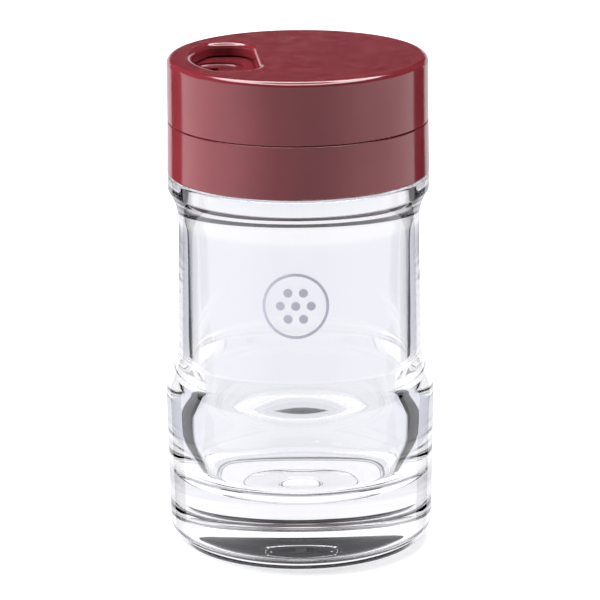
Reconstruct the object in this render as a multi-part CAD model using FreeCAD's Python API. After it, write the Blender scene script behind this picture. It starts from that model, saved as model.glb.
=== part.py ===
"""Table shaker for spices: a clear waisted jar, a screw collar and a turning top with one opening.

From the bottom: jar, seal_ring, screw_collar, sifter_disc, turn_cover. The jar is a thick clear
moulding with a heavy base. The collar screws onto its neck and traps a soft ring on the rim. The
sifter disc is keyed into the collar's turret. It has a dish with sifting holes, a pouring slot and
a blank place, a quarter turn apart. The cover snaps over the turret and turns, and its opening
picks a place. A lug under the cover runs in a groove of the disc, which ends its turn.

Millimetres, +Z up. The origin is the centre of the foot, on the table. The opening is towards -X.
"""

import FreeCAD, Part
import math
import os

from FreeCAD import Vector

# Cap: radius at the collar's lower edge, which sets the neck, the turret and the jar's shoulder
cap_radius = 25.0

# Jar: heights of the outside, and below the shoulder the heights of its band and of the flared cone
base_shoulder_height = 30.9
waist_low_height = 37.6
shoulder_height = 72.9
shoulder_band = 2.8
cone_depth = 3.1
# Jar: outside, each stretch from the one above it
shoulder_inset = 0.03
waist_wall = 1.65
waist_draft = 0.34
base_step = 2.54
foot_draft = 0.68
# Jar: roundings of the outside, where the flare takes a share of the cone's length
foot_round = 5.0
base_shoulder_round = 10.0
waist_low_round = 3.0
flare_share = 0.9
cone_top_round = 0.8
shoulder_round = 0.35
# Jar: neck
neck_height = 7.8
neck_wall = 1.4
neck_root_round = 0.3
rim_round = 0.45
# Jar: inside, with a bowl at the bottom whose roundings are shares of its depth
cavity_draft = 0.5
cavity_floor_height = 12.96
cavity_dish = 1.91
bowl_depth = 8.42
bowl_inset = 1.41
bowl_round_share = 3.03
cavity_corner_round_share = 0.69
# Jar: underside
foot_ring_width = 7.2
underside_slope_width = 0.5
underside_rise = 0.5
underside_round = 0.5
gate_ring_radius = 4.5
gate_ring_drop = 0.4
gate_ring_slope = 0.4

# Seal ring
seal_thickness = 1.2
seal_side_gap = 0.2

# Screw collar
collar_gap = 0.3
collar_wall = 1.6
collar_draft = 0.15
collar_low_round = 0.4
collar_top_round = 0.2
thread_space = 0.65
deck_thickness = 1.5
lip_clearance = 0.25
lip_wall = 0.95
lip_depth = 2.0
turret_gap = 0.7
turret_wall = 1.5
turret_height = 7.7
funnel_height = 1.6

# Snap between the cover and the turret
snap_bead_height = 0.4
snap_bead_width = 0.9
snap_overlap = 0.2
snap_above_edge = 0.5

# Opening in the cover: its inner side and its half length as shares of its outer radius, and its
# roundings as shares of its depth, which runs from the inner side to the outer
opening_border = 3.35
opening_inner_share = 0.394
opening_length_share = 0.631
opening_inner_round_share = 0.412
opening_outer_round_share = 0.214
opening_edge_round = 1.0
opening_turn_deg = 5.0
quarter_turn_deg = 90.0

# Sifter disc
disc_thickness = 1.8
disc_edge_step = 0.2
disc_edge_round = 0.3
spigot_clearance = 0.1
spigot_wall = 1.2
spigot_depth = 3.0
key_width = 3.0
key_reach = 0.7
key_depth = 1.5
key_clearance = 0.1
dish_outer_inset = 0.15
dish_inner_inset = 2.1
dish_end_inset = 4.85
dish_inner_round_share = 0.424
dish_outer_round_share = 0.364
dish_depth = 0.5
dish_floor_round = 0.3
sift_hole_radius = 1.05
sift_hole_count = 3
sift_hole_pitch = 4.0
sift_hole_inset = 3.7
slot_border = 1.0
slot_inner_inset = 1.0
slot_end_inset = 3.25
slot_inner_round_share = 0.40
slot_outer_round_share = 0.24
slot_edge_bevel = 0.4
slot_edge_step = 0.01

# Turning cover
seam_gap = 0.12
cover_gap = 0.3
cover_draft = 0.05
cover_top_round = 1.1
cover_low_round = 0.2
cover_wall = 1.45
plate_thickness = 1.5
inner_corner_round = 0.5
wiper_width = 1.2
wiper_depth = 0.9
pivot_radius = 2.0
pivot_clearance = 0.08
pivot_length = 1.9
pivot_end_gap = 0.3
pivot_tip_bevel = 0.3
bearing_wall = 1.3
stop_border = 2.5
stop_lug_radius = 0.8
stop_lug_depth = 0.7
stop_clearance = 0.15
stop_floor_gap = 0.25

# Reach of a cutting shape past what it cuts, and the least gap between two points of an outline
overrun = 1.0
same_point = 0.00001

# Sizes and places that follow from the ones above
cone_top_height = shoulder_height - shoulder_band
waist_top_height = cone_top_height - cone_depth
rim_height = shoulder_height + neck_height
seat_height = rim_height + seal_thickness
ledge_height = seat_height + deck_thickness
turret_top = ledge_height + turret_height
disc_top = turret_top + disc_thickness
cover_bottom = ledge_height + seam_gap
wiper_bottom = disc_top + cover_gap
plate_underside = wiper_bottom + wiper_depth
cover_top = plate_underside + plate_thickness
collar_bottom = shoulder_height + collar_gap
collar_top_radius = cap_radius - collar_draft
collar_bore_radius = cap_radius - collar_wall
neck_radius = collar_bore_radius - thread_space
mouth_radius = neck_radius - neck_wall
bowl_radius = mouth_radius - cavity_draft
bowl_height = cavity_floor_height + bowl_depth
bowl_round = bowl_depth * bowl_round_share
cavity_low_radius = bowl_radius - bowl_inset
cavity_corner_round = bowl_depth * cavity_corner_round_share
shoulder_radius = cap_radius - shoulder_inset
waist_top_radius = mouth_radius + waist_wall
cone_step = shoulder_radius - waist_top_radius
flare_reach = math.hypot(cone_step, cone_depth) * flare_share
waist_top_round = flare_reach / math.tan(math.atan2(cone_step, cone_depth) / 2)
waist_low_radius = waist_top_radius + waist_draft
base_radius = waist_low_radius + base_step
foot_radius = base_radius - foot_draft
foot_ring_radius = foot_radius - foot_round - foot_ring_width
underside_disc_radius = foot_ring_radius - underside_slope_width
lip_radius = mouth_radius - lip_clearance
lip_inner_radius = lip_radius - lip_wall
cover_low_radius = collar_top_radius
cover_top_radius = cover_low_radius - cover_draft
cover_bore_radius = cover_low_radius - cover_wall
turret_radius = cover_bore_radius - turret_gap
turret_bore_radius = turret_radius - turret_wall
spigot_radius = turret_bore_radius - spigot_clearance
spigot_bottom = turret_top - spigot_depth
opening_outer_radius = cover_bore_radius - opening_border
opening_inner_offset = opening_outer_radius * opening_inner_share
opening_half_length = opening_outer_radius * opening_length_share
opening_depth = opening_outer_radius - opening_inner_offset
opening_inner_round = opening_depth * opening_inner_round_share
opening_outer_round = opening_depth * opening_outer_round_share
stop_circle_radius = opening_inner_offset - stop_border
dish_outer_radius = opening_outer_radius - dish_outer_inset
dish_inner_offset = opening_inner_offset + dish_inner_inset
dish_half_length = opening_half_length - dish_end_inset
dish_inner_round = (dish_outer_radius - dish_inner_offset) * dish_inner_round_share
dish_outer_round = (dish_outer_radius - dish_inner_offset) * dish_outer_round_share
sift_hole_circle_radius = dish_outer_radius - sift_hole_inset
slot_outer_radius = spigot_radius - spigot_wall - slot_border
slot_inner_offset = opening_inner_offset + slot_inner_inset
slot_half_length = opening_half_length - slot_end_inset
slot_inner_round = (slot_outer_radius - slot_inner_offset) * slot_inner_round_share
slot_outer_round = (slot_outer_radius - slot_inner_offset) * slot_outer_round_share
bead_radius = turret_radius + snap_bead_height
rib_radius = bead_radius - snap_overlap
rib_bottom = cover_bottom + snap_above_edge
bead_bottom = rib_bottom + snap_bead_width + cover_gap
bearing_radius = pivot_radius + pivot_clearance
bearing_floor = disc_top - pivot_length - pivot_end_gap

AXIS = Vector(0, 0, 1)
ORIGIN = Vector(0, 0, 0)


def direction(start, end):
    """Unit vector from start to end."""
    way = end - start
    way.normalize()
    return way


def outline(corners):
    """Closed wire in the XZ plane through corners (radius, height, rounding), with tangent arcs."""
    points = [Vector(radius, 0, height) for radius, height, _ in corners]
    stretches = []
    for i, (_, _, rounding) in enumerate(corners):
        here = points[i]
        back = direction(here, points[i - 1])
        ahead = direction(here, points[(i + 1) % len(points)])
        half_angle = back.getAngle(ahead) / 2
        reach = rounding / math.tan(half_angle)
        bisector = direction(ORIGIN, back + ahead)
        middle = here + bisector * (rounding / math.sin(half_angle) - rounding)
        stretches.append((here + back * reach, middle, here + ahead * reach))
    edges = []
    for i, (first, middle, last) in enumerate(stretches):
        if first.distanceToPoint(last) > same_point:
            edges.append(Part.Arc(first, middle, last).toShape())
        following = stretches[(i + 1) % len(stretches)][0]
        if last.distanceToPoint(following) > same_point:
            edges.append(Part.LineSegment(last, following).toShape())
    return Part.Wire(edges)


def turned(corners):
    """Solid of revolution about the upright axis, from corners (radius, height, rounding)."""
    return Part.Face(outline(corners)).revolve(ORIGIN, AXIS, 360)


def cylinder(radius, low, high, x=0, y=0):
    """Upright cylinder between two heights."""
    return Part.makeCylinder(radius, high - low, Vector(x, y, low))


def ring(outer, inner, low, high):
    """Upright tube between two heights."""
    return cylinder(outer, low, high).cut(cylinder(inner, low - overrun, high + overrun))


def block(x_low, x_high, half_width, low, high):
    """Box that is centred on Y."""
    return Part.makeBox(x_high - x_low, 2 * half_width, high - low, Vector(x_low, -half_width, low))


def rotated(shape, degrees):
    """Copy of a shape, turned about the upright axis."""
    copy = shape.copy()
    copy.rotate(ORIGIN, AXIS, degrees)
    return copy


def upright_edges(shape):
    """Straight vertical edges of a shape."""
    return [e for e in shape.Edges if e.Curve.TypeId == "Part::GeomLine"
            and abs(e.tangentAt(e.FirstParameter).z) > math.cos(math.radians(1))]


def level_edges(shape, height):
    """Edges of a shape that lie at one height."""
    return [e for e in shape.Edges
            if abs(e.BoundBox.ZMin - height) < same_point and e.BoundBox.ZLength < same_point]


def oval_block(outer_radius, inner_offset, half_length, outer_round, inner_round, low, high):
    """Solid of a place's outline, towards -X: an arc outside, a straight inner side, soft corners."""
    body = block(-outer_radius, -inner_offset, half_length, low, high)
    body = body.common(cylinder(outer_radius, low, high))
    corner_x = -(outer_radius + inner_offset) / 2
    inner = [e for e in upright_edges(body) if e.CenterOfMass.x > corner_x]
    outer = [e for e in upright_edges(body) if e.CenterOfMass.x <= corner_x]
    return body.makeFillet(inner_round, inner).makeFillet(outer_round, outer)


def jar():
    """Thick clear jar: rounded foot, straight base, waist, flared cone, shoulder, neck and cavity."""
    outside = [
        (0, underside_rise, 0),
        (gate_ring_radius - gate_ring_slope, underside_rise, 0),
        (gate_ring_radius, underside_rise - gate_ring_drop, 0),
        (gate_ring_radius + gate_ring_slope, underside_rise, 0),
        (underside_disc_radius, underside_rise, underside_round),
        (foot_ring_radius, 0, 0),
        (foot_radius, 0, foot_round),
        (base_radius, base_shoulder_height, base_shoulder_round),
        (waist_low_radius, waist_low_height, waist_low_round),
        (waist_top_radius, waist_top_height, waist_top_round),
        (shoulder_radius, cone_top_height, cone_top_round),
        (shoulder_radius, shoulder_height, shoulder_round),
        (neck_radius, shoulder_height, neck_root_round),
        (neck_radius, rim_height, rim_round),
    ]
    inside = [
        (mouth_radius, rim_height, rim_round),
        (bowl_radius, bowl_height, bowl_round),
        (cavity_low_radius, cavity_floor_height, cavity_corner_round),
        (0, cavity_floor_height - cavity_dish, 0),
    ]
    return turned(outside + inside)


def seal_ring():
    """Soft ring on the jar's rim, under the collar's deck."""
    inner = lip_radius + seal_side_gap
    outer = collar_bore_radius - seal_side_gap
    return turned([
        (inner, rim_height, 0),
        (outer, rim_height, 0),
        (outer, seat_height, 0),
        (inner, seat_height, 0),
    ])


def screw_collar():
    """Lower half of the cap: skirt, deck, sealing lip and the turret that the cover turns on."""
    funnel_low = seat_height
    body = turned([
        (collar_bore_radius, collar_bottom, 0),
        (cap_radius, collar_bottom, collar_low_round),
        (collar_top_radius, ledge_height, collar_top_round),
        (turret_radius, ledge_height, 0),
        (turret_radius, bead_bottom, 0),
        (bead_radius, bead_bottom + snap_bead_width / 2, 0),
        (turret_radius, bead_bottom + snap_bead_width, 0),
        (turret_radius, turret_top, 0),
        (turret_bore_radius, turret_top, 0),
        (turret_bore_radius, funnel_low + funnel_height, 0),
        (lip_inner_radius, funnel_low, 0),
        (lip_inner_radius, seat_height - lip_depth, 0),
        (lip_radius, seat_height - lip_depth, 0),
        (lip_radius, seat_height, 0),
        (collar_bore_radius, seat_height, 0),
    ])
    half_width = key_width / 2 + key_clearance
    notch = block(0, spigot_radius + key_reach + key_clearance, half_width,
                  turret_top - key_depth - key_clearance, turret_top + overrun)
    return body.cut(notch)


def sift_holes():
    """Row of sifting holes along an arc, centred on -X."""
    step = math.degrees(sift_hole_pitch / sift_hole_circle_radius)
    first = -step * (sift_hole_count - 1) / 2
    hole = cylinder(sift_hole_radius, spigot_bottom, disc_top + overrun, -sift_hole_circle_radius)
    return [rotated(hole, first + i * step) for i in range(sift_hole_count)]


def pour_slot():
    """Cutter for the pouring slot, with a bevelled upper edge."""
    slot = oval_block(slot_outer_radius, slot_inner_offset, slot_half_length,
                      slot_outer_round, slot_inner_round, turret_top - overrun, disc_top)
    bevel_bottom = disc_top - slot_edge_bevel
    flare = oval_block(slot_outer_radius + slot_edge_bevel, slot_inner_offset - slot_edge_bevel,
                       slot_half_length + slot_edge_bevel, slot_outer_round + slot_edge_bevel,
                       slot_inner_round + slot_edge_bevel, bevel_bottom, disc_top)
    flare = flare.makeChamfer(slot_edge_bevel - slot_edge_step, level_edges(flare, bevel_bottom))
    return slot.fuse(flare)


def stop_groove():
    """Arc groove for the cover's lug, as long as its turn, centred on the +X side."""
    reach = stop_lug_radius + stop_clearance
    low = disc_top - stop_lug_depth - stop_floor_gap
    groove = ring(stop_circle_radius + reach, stop_circle_radius - reach, low, disc_top + overrun)
    keep = block(-stop_circle_radius - reach - overrun, 0, stop_circle_radius + reach + overrun,
                 low - overrun, disc_top + 2 * overrun)
    groove = groove.cut(keep)
    end = cylinder(reach, low, disc_top + overrun, stop_circle_radius)
    for degrees in (-quarter_turn_deg, quarter_turn_deg):
        groove = groove.fuse(rotated(end, degrees))
    return groove


def sifter_disc():
    """Insert with the three places: sifting dish, pouring slot and blank, a quarter turn apart."""
    disc_radius = turret_radius - disc_edge_step
    body = turned([
        (0, turret_top, 0),
        (disc_radius, turret_top, 0),
        (disc_radius, disc_top, disc_edge_round),
        (0, disc_top, 0),
    ])
    spigot = ring(spigot_radius, spigot_radius - spigot_wall, spigot_bottom, turret_top)
    key = block(spigot_radius - spigot_wall / 2, spigot_radius + key_reach, key_width / 2,
                turret_top - key_depth, turret_top)
    boss = cylinder(bearing_radius + bearing_wall, bearing_floor - bearing_wall, turret_top)
    body = body.fuse([spigot, key, boss]).removeSplitter()
    dish = oval_block(dish_outer_radius, dish_inner_offset, dish_half_length,
                      dish_outer_round, dish_inner_round, disc_top - dish_depth, disc_top)
    dish = dish.makeFillet(dish_floor_round, level_edges(dish, disc_top - dish_depth))
    slot = rotated(pour_slot(), quarter_turn_deg)
    places = [rotated(cutter, opening_turn_deg) for cutter in [dish, slot] + sift_holes()]
    bearing = cylinder(bearing_radius, bearing_floor, disc_top + overrun)
    return body.cut(places + [bearing, rotated(stop_groove(), opening_turn_deg)])


def cover_shell():
    """Outer form of the cover, with the snap rib inside its lower edge."""
    return turned([
        (cover_bore_radius, cover_bottom, 0),
        (cover_low_radius, cover_bottom, cover_low_round),
        (cover_top_radius, cover_top, cover_top_round),
        (0, cover_top, 0),
        (0, plate_underside, 0),
        (cover_bore_radius, plate_underside, inner_corner_round),
        (cover_bore_radius, rib_bottom + snap_bead_width, 0),
        (rib_radius, rib_bottom + snap_bead_width / 2, 0),
        (cover_bore_radius, rib_bottom, 0),
    ])


def turn_cover():
    """Upper half of the cap: plate with the opening, wiper rim, pivot pin and stop lug."""
    wiper = oval_block(opening_outer_radius + wiper_width, opening_inner_offset - wiper_width,
                       opening_half_length + wiper_width, opening_outer_round + wiper_width,
                       opening_inner_round + wiper_width, wiper_bottom, plate_underside)
    pin = cylinder(pivot_radius, disc_top - pivot_length, plate_underside)
    pin = pin.makeChamfer(pivot_tip_bevel, level_edges(pin, disc_top - pivot_length))
    lug = cylinder(stop_lug_radius, disc_top - stop_lug_depth, plate_underside, stop_circle_radius)
    body = cover_shell().fuse([rotated(wiper, opening_turn_deg), pin,
                               rotated(lug, opening_turn_deg)]).removeSplitter()
    opening = oval_block(opening_outer_radius, opening_inner_offset, opening_half_length,
                         opening_outer_round, opening_inner_round,
                         wiper_bottom - overrun, cover_top + overrun)
    body = body.cut(rotated(opening, opening_turn_deg))
    rim = [e for e in level_edges(body, cover_top) if e.BoundBox.DiagonalLength < 2 * cover_top_radius]
    rim = [e for e in rim if e.CenterOfMass.x < -opening_edge_round]
    return body.makeFillet(opening_edge_round, rim)


def main():
    """Build every piece and write one STEP file each."""
    os.makedirs("parts", exist_ok=True)
    for make in (jar, seal_ring, screw_collar, sifter_disc, turn_cover):
        shape = make()
        shape.exportStep(f"parts/{make.__name__}.step")
        print(make.__name__, "solids", len(shape.Solids), "valid", shape.isValid(),
              "volume", round(shape.Volume / 1000, 2), "cm3")


main()
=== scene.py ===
import math

import bmesh
import bpy
from mathutils import Matrix, Vector


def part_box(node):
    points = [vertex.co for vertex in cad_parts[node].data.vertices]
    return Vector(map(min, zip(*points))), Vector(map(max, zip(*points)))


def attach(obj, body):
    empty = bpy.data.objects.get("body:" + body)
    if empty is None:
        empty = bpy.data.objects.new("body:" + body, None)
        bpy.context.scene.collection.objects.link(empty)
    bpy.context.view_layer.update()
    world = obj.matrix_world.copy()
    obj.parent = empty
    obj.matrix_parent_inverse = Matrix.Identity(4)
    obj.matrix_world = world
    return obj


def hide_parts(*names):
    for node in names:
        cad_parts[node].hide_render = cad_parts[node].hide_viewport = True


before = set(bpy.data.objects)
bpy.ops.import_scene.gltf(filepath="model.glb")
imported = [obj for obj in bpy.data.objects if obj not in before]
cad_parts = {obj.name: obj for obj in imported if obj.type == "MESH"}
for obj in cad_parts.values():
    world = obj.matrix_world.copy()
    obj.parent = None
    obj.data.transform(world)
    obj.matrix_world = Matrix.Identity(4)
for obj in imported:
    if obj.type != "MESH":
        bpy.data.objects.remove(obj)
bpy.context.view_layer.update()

MM = 0.001

# Sizes that the frame gives, in millimetres
rim_height = (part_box("jar")[1] / MM).z
cap_radius = (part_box("screw_collar")[1] / MM).x

# Jar, in millimetres: the same named sizes as the solid's
base_shoulder_height = 30.9
waist_low_height = 37.6
shoulder_band = 2.8
cone_depth = 3.1
neck_height = 7.8
shoulder_inset = 0.03
waist_wall = 1.65
waist_draft = 0.34
base_step = 2.54
foot_draft = 0.68
foot_round = 5.0
base_shoulder_round = 10.0
waist_low_round = 3.0
flare_share = 0.9
cone_top_round = 0.8
shoulder_round = 0.35
neck_root_round = 0.3
rim_round = 0.45
collar_wall = 1.6
thread_space = 0.65
neck_wall = 1.4
cavity_draft = 0.5
cavity_floor_height = 12.96
cavity_dish = 1.91
bowl_depth = 8.42
bowl_inset = 1.41
bowl_round_share = 3.03
cavity_corner_round_share = 0.69
foot_ring_width = 7.2
underside_slope_width = 0.5
underside_rise = 0.5
underside_round = 0.5
gate_ring_radius = 4.5
gate_ring_drop = 0.4
gate_ring_slope = 0.4
fine_round = 0.1

# Screw thread between neck and collar, in millimetres
thread_lead = 4.0
thread_starts = 2
thread_depth = 0.5
thread_crest = 0.35
thread_base = 0.95
thread_low_above_shoulder = 1.9
thread_high_below_rim = 1.3
thread_fade = 0.5
thread_root_sink = 0.1

# Generic mark on the jar's front, in millimetres
mark_height = 52.6
mark_side = -0.7
mark_radius = 6.3
mark_ring_width = 0.55
mark_dot_count = 6
mark_dot_radius = 0.85
mark_dot_hole_share = 0.02
mark_dot_pitch = 2.9
mark_proud = 0.03

# Fineness of the meshes, with lengths in millimetres
jar_segments = 256
thread_segments = 128
mark_ring_segments = 96
mark_dot_segments = 24
longest_step = 3.0
thread_step = 0.12
arc_step_deg = 4.0
sharp_angle_deg = 25.0
tiny = 0.0001

# Sizes that follow
shoulder_height = rim_height - neck_height
cone_top_height = shoulder_height - shoulder_band
waist_top_height = cone_top_height - cone_depth
collar_bore_radius = cap_radius - collar_wall
neck_radius = collar_bore_radius - thread_space
mouth_radius = neck_radius - neck_wall
bowl_radius = mouth_radius - cavity_draft
bowl_height = cavity_floor_height + bowl_depth
bowl_round = bowl_depth * bowl_round_share
cavity_corner_round = bowl_depth * cavity_corner_round_share
cavity_low_radius = bowl_radius - bowl_inset
shoulder_radius = cap_radius - shoulder_inset
waist_top_radius = mouth_radius + waist_wall
cone_step = shoulder_radius - waist_top_radius
flare_reach = math.hypot(cone_step, cone_depth) * flare_share
waist_top_round = flare_reach / math.tan(math.atan2(cone_step, cone_depth) / 2)
waist_low_radius = waist_top_radius + waist_draft
base_radius = waist_low_radius + base_step
foot_radius = base_radius - foot_draft
foot_ring_radius = foot_radius - foot_round - foot_ring_width
underside_disc_radius = foot_ring_radius - underside_slope_width
thread_low = shoulder_height + thread_low_above_shoulder
thread_high = rim_height - thread_high_below_rim
thread_pitch = thread_lead / thread_starts

# Camera: measured in the photograph's 600 by 600 frame
image_px = 600
camera_centre_px = (299.46, 302.70)
camera_focal_px = 4160.4
camera_sensor = 36.0
camera_elevation_deg = 15.245
camera_roll_deg = -0.47
camera_distance = 0.8
camera_aim_height = 0.047

# Light paths, long enough for light that the thick clear base leads along inside
glass_bounces = 24

# Floor, in metres, with the glow that keeps it white and fades into the shadow near the object
floor_half = 4.0
floor_lift = 0.00001
floor_glow = 0.6
floor_glow_far = 1.0
floor_glow_turn = (0.12, 0.3)

# Floor round the foot as glass sees it, in millimetres: bright under the foot, with two dark rings of painted
# shade round it
contact_radius = 20.4
contact_soft = 0.4
contact_level = 0.9
edge_shade = (20.4, 21.4)
edge_shade_share = 0.4
wall_shade = (22.4, 23.8)
wall_shade_share = 1.0

# Screens that gloss and glass see, by elevation and by azimuth from straight behind, in degrees
screen_top_deg = 9.0
screen_soft_deg = 1.0
dark_high_deg = 46.0
dark_half_width_deg = 50.0
dark_width_soft_deg = 6.0
gloss_gap_deg = (32.0, 57.0)
glass_gap_deg = (38.0, 60.0)
gap_soft_deg = 1.0
overhead_deg = (50.0, 72.0)
overhead_level = 12.0
side_screen_deg = (50.0, 140.0)
side_screen_soft_deg = 50.0
side_screen_left = 0.75
side_screen_right = 0.5
side_screen_turn = 0.2
colour_turn_deg = -14.0
colour_turn_soft_deg = 4.0
sky_for_fill = 0.05

# Lamps, in metres and watts
lamps = {
    "lamp_top": dict(place=(0, 0.05, 0.9), size=(0.7, 0.5), watts=6.5),
    "lamp_left": dict(place=(-0.85, 0, 0.35), size=(0.5, 0.5), watts=9.8),
    "lamp_right": dict(place=(0.85, 0, 0.35), size=(0.5, 0.5), watts=4.0),
}
lamp_aim = (0, 0, 0.05)

# Colours, linear
white = (1, 1, 1)
floor_albedo = (0.70, 0.70, 0.72)
screen_low = (0.90, 0.90, 0.945)
# Painted shade: the low screens as light led in the base sees them, darker, standing in for the shaded floor
# near the object
screen_low_painted_shade_in_base = (0.74, 0.75, 0.83)
screen_high = (0.98, 0.98, 1.0)
clear_tint = (0.985, 0.985, 0.995)
maroon = (0.22, 0.026, 0.036)
maroon_light = (0.24, 0.029, 0.039)
seal_white = (0.80, 0.79, 0.75)
mark_grey = (0.80, 0.78, 0.90)

# Finishes: refraction, roughness, and textures with their sizes and heights in millimetres
noise_limits = (0.3, 0.7)
clear_ior = 1.57
clear_roughness = 0.0
clear_wave_size = 9.0
clear_wave_height = 0.02
cap_ior = 1.53
cap_roughness = (0.10, 0.15)
cap_drift_size = 14.0
cap_drift_limits = (0.35, 0.65)
cap_handling_size = 3.0
cap_peel_size = 1.2
cap_peel_height = 0.002
seal_roughness = (0.5, 0.65)
seal_scatter = 0.2
seal_scatter_scale = 0.001
seal_grain_size = 0.4
seal_grain_height = 0.01
mark_roughness = (0.3, 0.45)
mark_grain_size = 0.3
mark_grain_height = 0.004


class Nodes:
    """Builds a node tree in few words."""

    def __init__(self, owner):
        owner.use_nodes = True
        self.tree = owner.node_tree
        self.tree.nodes.clear()

    def node(self, kind, inputs=None, **settings):
        made = self.tree.nodes.new(kind)
        for name, value in settings.items():
            setattr(made, name, value)
        for name, value in (inputs or {}).items():
            self.feed(made.inputs[name], value)
        return made

    def feed(self, socket, value):
        """Links an output, or sets a plain value."""
        if isinstance(value, bpy.types.NodeSocket):
            self.tree.links.new(value, socket)
        else:
            socket.default_value = value

    def math(self, operation, *values):
        return self.node("ShaderNodeMath", dict(enumerate(values)), operation=operation).outputs[0]

    def product(self, first, *others):
        for other in others:
            first = self.math("MULTIPLY", first, other)
        return first

    def rest(self, share):
        """One less a share."""
        return self.math("SUBTRACT", 1, share)

    def positive(self, value):
        """One where the value is above zero, and zero elsewhere."""
        return self.math("GREATER_THAN", value, 0)

    def ramp(self, value, low, high, to_low, to_high, smooth=False):
        kind = "SMOOTHSTEP" if smooth else "LINEAR"
        inputs = {0: value, 1: low, 2: high, 3: to_low, 4: to_high}
        return self.node("ShaderNodeMapRange", inputs, interpolation_type=kind).outputs[0]

    def between(self, value, limits, soft):
        """One where the value lies between two limits, and zero elsewhere."""
        low, high = limits
        above = self.ramp(value, low - soft / 2, low + soft / 2, 0, 1, smooth=True)
        below = self.ramp(value, high - soft / 2, high + soft / 2, 1, 0, smooth=True)
        return self.product(above, below)

    def mix(self, share, first, second):
        """Colour between two colours."""
        made = self.node("ShaderNodeMix", data_type="RGBA")
        for place, value in ((0, share), (6, first), (7, second)):
            self.feed(made.inputs[place], value)
        return made.outputs[2]

    def noise(self, size_mm, detail=2.0):
        """Noise whose features are about size_mm across, on the object's own coordinates."""
        place = self.node("ShaderNodeTexCoord").outputs["Object"]
        inputs = {"Vector": place, "Scale": 1 / (size_mm * MM), "Detail": detail}
        return self.node("ShaderNodeTexNoise", inputs).outputs[0]

    def bump(self, height, distance_mm):
        inputs = {"Height": height, "Distance": distance_mm * MM, "Strength": 1}
        return self.node("ShaderNodeBump", inputs).outputs[0]

    def finish(self, shader, kind="ShaderNodeOutputMaterial"):
        self.feed(self.node(kind).inputs[0], shader)


def opaque(colour):
    return (*colour, 1)


def clear_plastic():
    """Clear moulded styrene: faint lilac tint, polished, with the slight flow waves of a thick moulding."""
    material = bpy.data.materials.new("clear_plastic")
    nodes = Nodes(material)
    waves = nodes.noise(clear_wave_size, detail=1.0)
    shader = nodes.node("ShaderNodeBsdfPrincipled", {
        "Base Color": opaque(clear_tint),
        "Transmission Weight": 1,
        "Roughness": clear_roughness,
        "IOR": clear_ior,
        "Normal": nodes.bump(waves, clear_wave_height),
    })
    nodes.finish(shader.outputs[0])
    return material


def maroon_plastic(name):
    """Glossy maroon moulding: slight colour drift, fine orange peel and uneven gloss from handling."""
    material = bpy.data.materials.new(name)
    nodes = Nodes(material)
    drift = nodes.ramp(nodes.noise(cap_drift_size), *cap_drift_limits, 0, 1, smooth=True)
    handling = nodes.noise(cap_handling_size, detail=5.0)
    shader = nodes.node("ShaderNodeBsdfPrincipled", {
        "Base Color": nodes.mix(drift, opaque(maroon), opaque(maroon_light)),
        "Roughness": nodes.ramp(handling, *noise_limits, *cap_roughness),
        "IOR": cap_ior,
        "Normal": nodes.bump(nodes.noise(cap_peel_size), cap_peel_height),
    })
    nodes.finish(shader.outputs[0])
    return material


def seal_plastic():
    """Soft natural-white ring."""
    material = bpy.data.materials.new("seal_soft")
    nodes = Nodes(material)
    grain = nodes.noise(seal_grain_size, detail=3.0)
    shader = nodes.node("ShaderNodeBsdfPrincipled", {
        "Base Color": opaque(seal_white),
        "Subsurface Weight": seal_scatter,
        "Subsurface Scale": seal_scatter_scale,
        "Roughness": nodes.ramp(grain, *noise_limits, *seal_roughness),
        "Normal": nodes.bump(grain, seal_grain_height),
    })
    nodes.finish(shader.outputs[0])
    return material


def mark_print():
    """Lavender-grey print, slightly uneven."""
    material = bpy.data.materials.new("mark_print")
    nodes = Nodes(material)
    grain = nodes.noise(mark_grain_size, detail=4.0)
    shader = nodes.node("ShaderNodeBsdfPrincipled", {
        "Base Color": opaque(mark_grey),
        "Roughness": nodes.ramp(grain, *noise_limits, *mark_roughness),
        "Normal": nodes.bump(grain, mark_grain_height),
    })
    nodes.finish(shader.outputs[0])
    return material


def rounded_outline(corners):
    """Points through corners (radius, height, rounding), with an arc at each rounded corner."""
    places = [Vector((radius, height)) for radius, height, _ in corners]
    points = []
    for i, (_, _, rounding) in enumerate(corners):
        here = places[i]
        if not rounding:
            points.append(here)
            continue
        back = (places[i - 1] - here).normalized()
        ahead = (places[i + 1] - here).normalized()
        half_angle = back.angle(ahead) / 2
        reach = rounding / math.tan(half_angle)
        centre = here + (back + ahead).normalized() * (rounding / math.sin(half_angle))
        start = here + back * reach - centre
        end = here + ahead * reach - centre
        sweep = math.copysign(start.angle(end), start.cross(end))
        count = max(2, math.ceil(math.degrees(abs(sweep)) / arc_step_deg))
        for step in range(count + 1):
            points.append(centre + Matrix.Rotation(sweep * step / count, 2) @ start)
    return points


def with_steps(points, step):
    """The same outline with no stretch longer than step(start, end)."""
    finer = []
    for start, end in zip(points, points[1:]):
        count = max(1, math.ceil((end - start).length / step(start, end)))
        finer += [start.lerp(end, i / count) for i in range(count)]
    return finer + [points[-1]]


def mesh_object(name, verts, faces, smooth=True):
    """Object from points in millimetres, with outward normals and sharp edges kept sharp."""
    mesh = bpy.data.meshes.new(name)
    mesh.from_pydata([Vector(v) * MM for v in verts], [], faces)
    shaped = bmesh.new()
    shaped.from_mesh(mesh)
    bmesh.ops.recalc_face_normals(shaped, faces=shaped.faces)
    shaped.to_mesh(mesh)
    shaped.free()
    mesh.polygons.foreach_set("use_smooth", [smooth] * len(mesh.polygons))
    mesh.set_sharp_from_angle(angle=math.radians(sharp_angle_deg))
    made = bpy.data.objects.new(name, mesh)
    bpy.context.scene.collection.objects.link(made)
    return made


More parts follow.
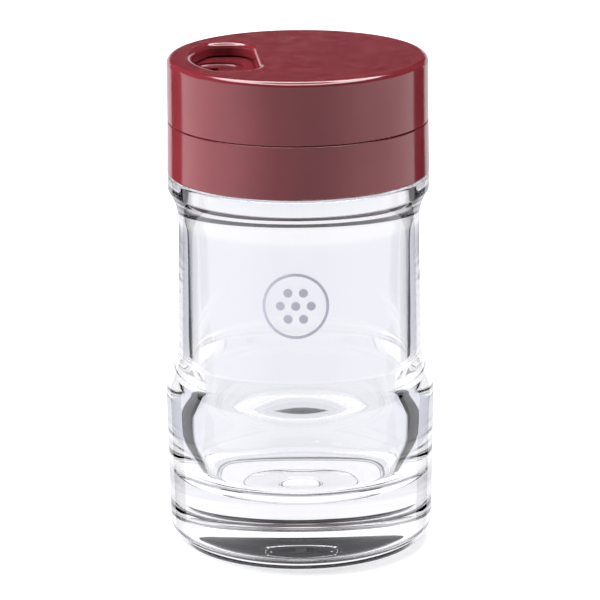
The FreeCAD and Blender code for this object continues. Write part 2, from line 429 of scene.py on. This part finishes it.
def revolve(name, points, segments, swell=lambda radius, height, angle: 0):
    """Closed body of revolution, whose outline starts and ends on the axis."""
    verts, faces, rings = [], [], []
    for radius, height in points:
        if radius < tiny:
            rings.append([len(verts)] * segments)
            verts.append((0, 0, height))
            continue
        rings.append(list(range(len(verts), len(verts) + segments)))
        for k in range(segments):
            angle = 2 * math.pi * k / segments
            reach = radius + swell(radius, height, angle)
            verts.append((reach * math.cos(angle), reach * math.sin(angle), height))
    for low, high in zip(rings, rings[1:]):
        for k in range(segments):
            after = (k + 1) % segments
            face = [low[k], low[after], high[after], high[k]]
            faces.append(list(dict.fromkeys(face)))
    return mesh_object(name, verts, faces)


def jar_outline():
    """Section of the jar, from the middle of the underside round to the middle of the cavity's floor."""
    return rounded_outline([
        (0, underside_rise, 0),
        (gate_ring_radius - gate_ring_slope, underside_rise, fine_round),
        (gate_ring_radius, underside_rise - gate_ring_drop, fine_round),
        (gate_ring_radius + gate_ring_slope, underside_rise, fine_round),
        (underside_disc_radius, underside_rise, underside_round),
        (foot_ring_radius, 0, fine_round),
        (foot_radius, 0, foot_round),
        (base_radius, base_shoulder_height, base_shoulder_round),
        (waist_low_radius, waist_low_height, waist_low_round),
        (waist_top_radius, waist_top_height, waist_top_round),
        (shoulder_radius, cone_top_height, cone_top_round),
        (shoulder_radius, shoulder_height, shoulder_round),
        (neck_radius, shoulder_height, neck_root_round),
        (neck_radius, rim_height, rim_round),
        (mouth_radius, rim_height, rim_round),
        (bowl_radius, bowl_height, bowl_round),
        (cavity_low_radius, cavity_floor_height, cavity_corner_round),
        (0, cavity_floor_height - cavity_dish, 0),
    ])


def neck_thread(radius, height, angle):
    """How far the neck's surface stands out at a place: two ridges that wind to the right."""
    if abs(radius - neck_radius) > tiny or not thread_low < height < thread_high:
        return 0
    turn = (height - thread_lead * angle / (2 * math.pi)) / thread_pitch
    off_crest = abs(turn % 1 - 0.5) * thread_pitch
    rise = (thread_base / 2 - off_crest) / ((thread_base - thread_crest) / 2)
    fade = min(height - thread_low, thread_high - height) / thread_fade
    return thread_depth * max(0, min(1, rise)) * max(0, min(1, fade))


def jar():
    """The jar as one fine mesh, so that what is seen through it bends smoothly."""
    def step(start, end):
        on_neck = abs(start.x - neck_radius) < tiny and abs(end.x - neck_radius) < tiny
        return thread_step if on_neck else longest_step

    made = revolve("clear_jar", with_steps(jar_outline(), step), jar_segments, neck_thread)
    made.data.materials.append(clear_plastic())
    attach(made, "jar")
    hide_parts("jar")


def front_point(across, up):
    """Point on the jar's front at a distance across and up from the mark's centre, just proud of the wall."""
    height = mark_height + up
    share = (height - waist_low_height) / (waist_top_height - waist_low_height)
    radius = waist_low_radius + (waist_top_radius - waist_low_radius) * share + mark_proud
    angle = (mark_side + across) / radius
    return (radius * math.sin(angle), -radius * math.cos(angle), height)


def band(verts, faces, centre, inner, outer, segments):
    """Adds a flat ring to a mesh on the jar's front."""
    first = len(verts)
    for k in range(segments):
        angle = 2 * math.pi * k / segments
        for radius in (inner, outer):
            across = centre[0] + radius * math.cos(angle)
            up = centre[1] + radius * math.sin(angle)
            verts.append(front_point(across, up))
    for k in range(segments):
        a, b = first + 2 * k, first + 2 * ((k + 1) % segments)
        faces.append((a, a + 1, b + 1, b))


def front_mark():
    """Generic printed mark: a plain ring round a group of dots, each a ring with a tiny hole."""
    verts, faces = [], []
    band(verts, faces, (0, 0), mark_radius - mark_ring_width, mark_radius, mark_ring_segments)
    centres = [(0, 0)]
    for k in range(mark_dot_count):
        angle = 2 * math.pi * k / mark_dot_count
        centres.append((mark_dot_pitch * math.cos(angle), mark_dot_pitch * math.sin(angle)))
    for centre in centres:
        band(verts, faces, centre, mark_dot_radius * mark_dot_hole_share, mark_dot_radius, mark_dot_segments)
    made = mesh_object("front_mark", verts, faces)
    made.data.materials.append(mark_print())
    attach(made, "jar")


def collar_thread(material):
    """Ridges inside the collar that run between the neck's."""
    section = [(thread_root_sink, thread_base / 2), (-thread_depth, thread_crest / 2),
               (-thread_depth, -thread_crest / 2), (thread_root_sink, -thread_base / 2)]
    corners = len(section)
    low = thread_low + thread_base / 2
    turns = (thread_high - thread_low - thread_base) / thread_lead
    steps = round(turns * thread_segments)
    verts, faces = [], []
    for start in range(thread_starts):
        first = len(verts)
        for i in range(steps + 1):
            turned = 2 * math.pi * turns * i / steps
            angle = turned + 2 * math.pi * (start + low / thread_pitch) / thread_starts
            height = low + thread_lead * turned / (2 * math.pi)
            for depth, up in section:
                reach = collar_bore_radius + depth
                verts.append((reach * math.cos(angle), reach * math.sin(angle), height + up))
        for i in range(steps):
            for k in range(corners):
                a, b = first + corners * i + k, first + corners * i + (k + 1) % corners
                faces.append((a, b, b + corners, a + corners))
        last = first + corners * steps
        faces += [tuple(range(first, first + corners)), tuple(reversed(range(last, last + corners)))]
    made = mesh_object("collar_thread", verts, faces)
    made.data.materials.append(material)
    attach(made, "collar")


def dress(node, material):
    """Gives a CAD node its finish."""
    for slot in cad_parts[node].material_slots:
        slot.material = material


def floor():
    """Pale floor that keeps the shadow. Gloss and glass see the screens through it, but not at the foot,
    where they see a bright disc and two rings of painted shade.
    """
    corners = [Vector((x, y, 0)) * floor_half for x, y in ((-1, -1), (1, -1), (1, 1), (-1, 1))]
    lift = Vector((0, 0, floor_lift))
    made = mesh_object("floor", [(corner + lift) / MM for corner in corners], [(0, 1, 2, 3)], smooth=False)
    material = bpy.data.materials.new("pale_floor")
    nodes = Nodes(material)
    rays = nodes.node("ShaderNodeLightPath").outputs
    place = nodes.node("ShaderNodeTexCoord").outputs["Object"]
    radius = nodes.node("ShaderNodeVectorMath", {0: place}, operation="LENGTH").outputs["Value"]
    touched = nodes.ramp(radius, contact_radius * MM, (contact_radius + contact_soft) * MM, 1, 0)
    solid = touched
    # Painted shade: two dark rings round the foot, which the glass shows as dark lines and a dark arc in the
    # base
    for limits, share in ((edge_shade, edge_shade_share), (wall_shade, wall_shade_share)):
        ring = nodes.between(radius, [limit * MM for limit in limits], contact_soft * MM)
        solid = nodes.math("MAXIMUM", solid, nodes.product(ring, share))
    seen = nodes.math("MAXIMUM", rays["Is Glossy Ray"], rays["Is Transmission Ray"])
    to_camera = nodes.ramp(radius, *floor_glow_turn, floor_glow, floor_glow_far)
    glow = nodes.product(rays["Is Camera Ray"], to_camera)
    glow = nodes.math("MULTIPLY_ADD", nodes.product(seen, touched), contact_level, glow)
    lit = nodes.node("ShaderNodeBsdfDiffuse", {"Color": opaque(floor_albedo)})
    shining = nodes.node("ShaderNodeEmission", {"Strength": glow})
    pale = nodes.node("ShaderNodeAddShader", {0: lit.outputs[0], 1: shining.outputs[0]})
    clear = nodes.node("ShaderNodeBsdfTransparent")
    through = nodes.product(seen, nodes.rest(solid))
    both = nodes.node("ShaderNodeMixShader", {0: through, 1: pale.outputs[0], 2: clear.outputs[0]})
    nodes.finish(both.outputs[0])
    made.data.materials.append(material)


def screen_gaps(nodes, rays, azimuth):
    """Dark upright gaps between the screens, for light that was mirrored."""
    in_glass = nodes.positive(rays["Transmission Depth"])
    glass_gap = nodes.product(in_glass, nodes.between(azimuth, glass_gap_deg, gap_soft_deg))
    gloss_gap = nodes.product(nodes.rest(in_glass), nodes.between(azimuth, gloss_gap_deg, gap_soft_deg))
    return nodes.product(nodes.positive(rays["Glossy Depth"]), nodes.math("MAXIMUM", glass_gap, gloss_gap))


def gloss_screens(nodes, rays, across, height, azimuth, gap):
    """What gloss mirrors: low screens that are brighter at the sides, and a bright band overhead."""
    soft = screen_soft_deg / 2
    low = nodes.ramp(height, screen_top_deg - soft, screen_top_deg + soft, 1, 0, smooth=True)
    low = nodes.product(low, nodes.rest(gap))
    side = nodes.ramp(across, -side_screen_turn, side_screen_turn, side_screen_left, side_screen_right)
    side = nodes.product(side, nodes.between(azimuth, side_screen_deg, side_screen_soft_deg), low)
    overhead = nodes.product(nodes.between(height, overhead_deg, screen_soft_deg), overhead_level)
    overhead = nodes.product(overhead, nodes.rest(nodes.positive(rays["Diffuse Depth"])))
    return nodes.math("ADD", nodes.math("ADD", low, side), overhead)


def glass_screens(nodes, height, azimuth, gap):
    """What glass shows: screens all round, with a dark zone behind the object and above the low screens."""
    dark = nodes.between(height, (screen_top_deg, dark_high_deg), screen_soft_deg)
    width_end = dark_half_width_deg + dark_width_soft_deg
    dark = nodes.product(dark, nodes.ramp(azimuth, dark_half_width_deg, width_end, 1, 0))
    return nodes.product(nodes.rest(dark), nodes.rest(gap))


def screen_colour(nodes, rays, height):
    """White to the camera. The screens are a little lilac low down; for light led in the base they are darker
    and more lilac, a painted shade standing in for the shaded floor near the object.
    """
    led = nodes.product(nodes.positive(rays["Glossy Depth"]), rays["Is Transmission Ray"])
    # Light led in the base sees the low screens darker: painted shade
    low = nodes.mix(led, opaque(screen_low), opaque(screen_low_painted_shade_in_base))
    soft = colour_turn_soft_deg / 2
    rise = nodes.ramp(height, colour_turn_deg - soft, colour_turn_deg + soft, 0, 1)
    return nodes.mix(rays["Is Camera Ray"], nodes.mix(rise, low, opaque(screen_high)), opaque(white))


def studio():
    """White backdrop for the camera, a weak even fill, and screens that only gloss and glass see."""
    world = bpy.data.worlds.new("studio")
    bpy.context.scene.world = world
    nodes = Nodes(world)
    rays = nodes.node("ShaderNodeLightPath").outputs
    place = nodes.node("ShaderNodeTexCoord").outputs["Generated"]
    across, ahead, up = nodes.node("ShaderNodeSeparateXYZ", {0: place}).outputs
    height = nodes.math("DEGREES", nodes.math("ARCSINE", up))
    azimuth = nodes.math("DEGREES", nodes.math("ARCTAN2", nodes.math("ABSOLUTE", across), ahead))
    gap = screen_gaps(nodes, rays, azimuth)
    in_gloss = gloss_screens(nodes, rays, across, height, azimuth, gap)
    in_glass = glass_screens(nodes, height, azimuth, gap)
    screen = nodes.ramp(rays["Is Transmission Ray"], 0, 1, in_gloss, in_glass)
    seen = nodes.math("MAXIMUM", rays["Is Glossy Ray"], rays["Is Transmission Ray"])
    strength = nodes.math("MULTIPLY_ADD", seen, screen, rays["Is Camera Ray"])
    strength = nodes.math("MULTIPLY_ADD", rays["Is Diffuse Ray"], sky_for_fill, strength)
    colour = screen_colour(nodes, rays, height)
    shining = nodes.node("ShaderNodeBackground", {"Color": colour, "Strength": strength})
    nodes.finish(shining.outputs[0], "ShaderNodeOutputWorld")


def aimed(made, place, target):
    """Puts a lamp at a place, facing the target."""
    made.location = place
    made.rotation_mode = "QUATERNION"
    made.rotation_quaternion = (Vector(target) - Vector(place)).to_track_quat("-Z", "Y")
    bpy.context.scene.collection.objects.link(made)


def lights():
    """Large soft lamps above and at both sides, that gloss and glass don't see."""
    for name, lamp in lamps.items():
        light = bpy.data.lights.new(name, "AREA")
        light.shape = "RECTANGLE"
        light.size, light.size_y = lamp["size"]
        light.energy = lamp["watts"]
        made = bpy.data.objects.new(name, light)
        made.visible_glossy = False
        made.visible_transmission = False
        aimed(made, lamp["place"], lamp_aim)


def light_paths():
    """Lets light be led along inside the thick clear base."""
    cycles = bpy.context.scene.cycles
    cycles.max_bounces = glass_bounces
    cycles.glossy_bounces = glass_bounces
    cycles.transmission_bounces = glass_bounces


def camera():
    """Camera at the photograph's viewing angle, with its slight roll."""
    lens = bpy.data.cameras.new("camera")
    lens.sensor_width = camera_sensor
    lens.lens = camera_focal_px / image_px * camera_sensor
    lens.shift_x = (image_px / 2 - camera_centre_px[0]) / image_px
    lens.shift_y = (camera_centre_px[1] - image_px / 2) / image_px
    tilt = math.radians(camera_elevation_deg)
    back = Vector((0, -math.cos(tilt), math.sin(tilt)))
    up = Vector((0, math.sin(tilt), math.cos(tilt)))
    right = Vector((1, 0, 0))
    roll = math.radians(camera_roll_deg)
    rolled_right = right * math.cos(roll) + up * math.sin(roll)
    rolled_up = up * math.cos(roll) - right * math.sin(roll)
    made = bpy.data.objects.new("camera", lens)
    bpy.context.scene.collection.objects.link(made)
    placed = Matrix((rolled_right, rolled_up, back)).transposed().to_4x4()
    placed.translation = Vector((0, 0, camera_aim_height)) + back * camera_distance
    made.matrix_world = placed
    bpy.context.scene.camera = made


camera()
floor()
studio()
lights()
bpy.context.scene.view_settings.view_transform = "Standard"
light_paths()

jar()
front_mark()
collar_plastic = maroon_plastic("maroon_collar")
dress("screw_collar", collar_plastic)
dress("sifter_disc", maroon_plastic("maroon_disc"))
dress("turn_cover", maroon_plastic("maroon_cover"))
dress("seal_ring", seal_plastic())
collar_thread(collar_plastic)
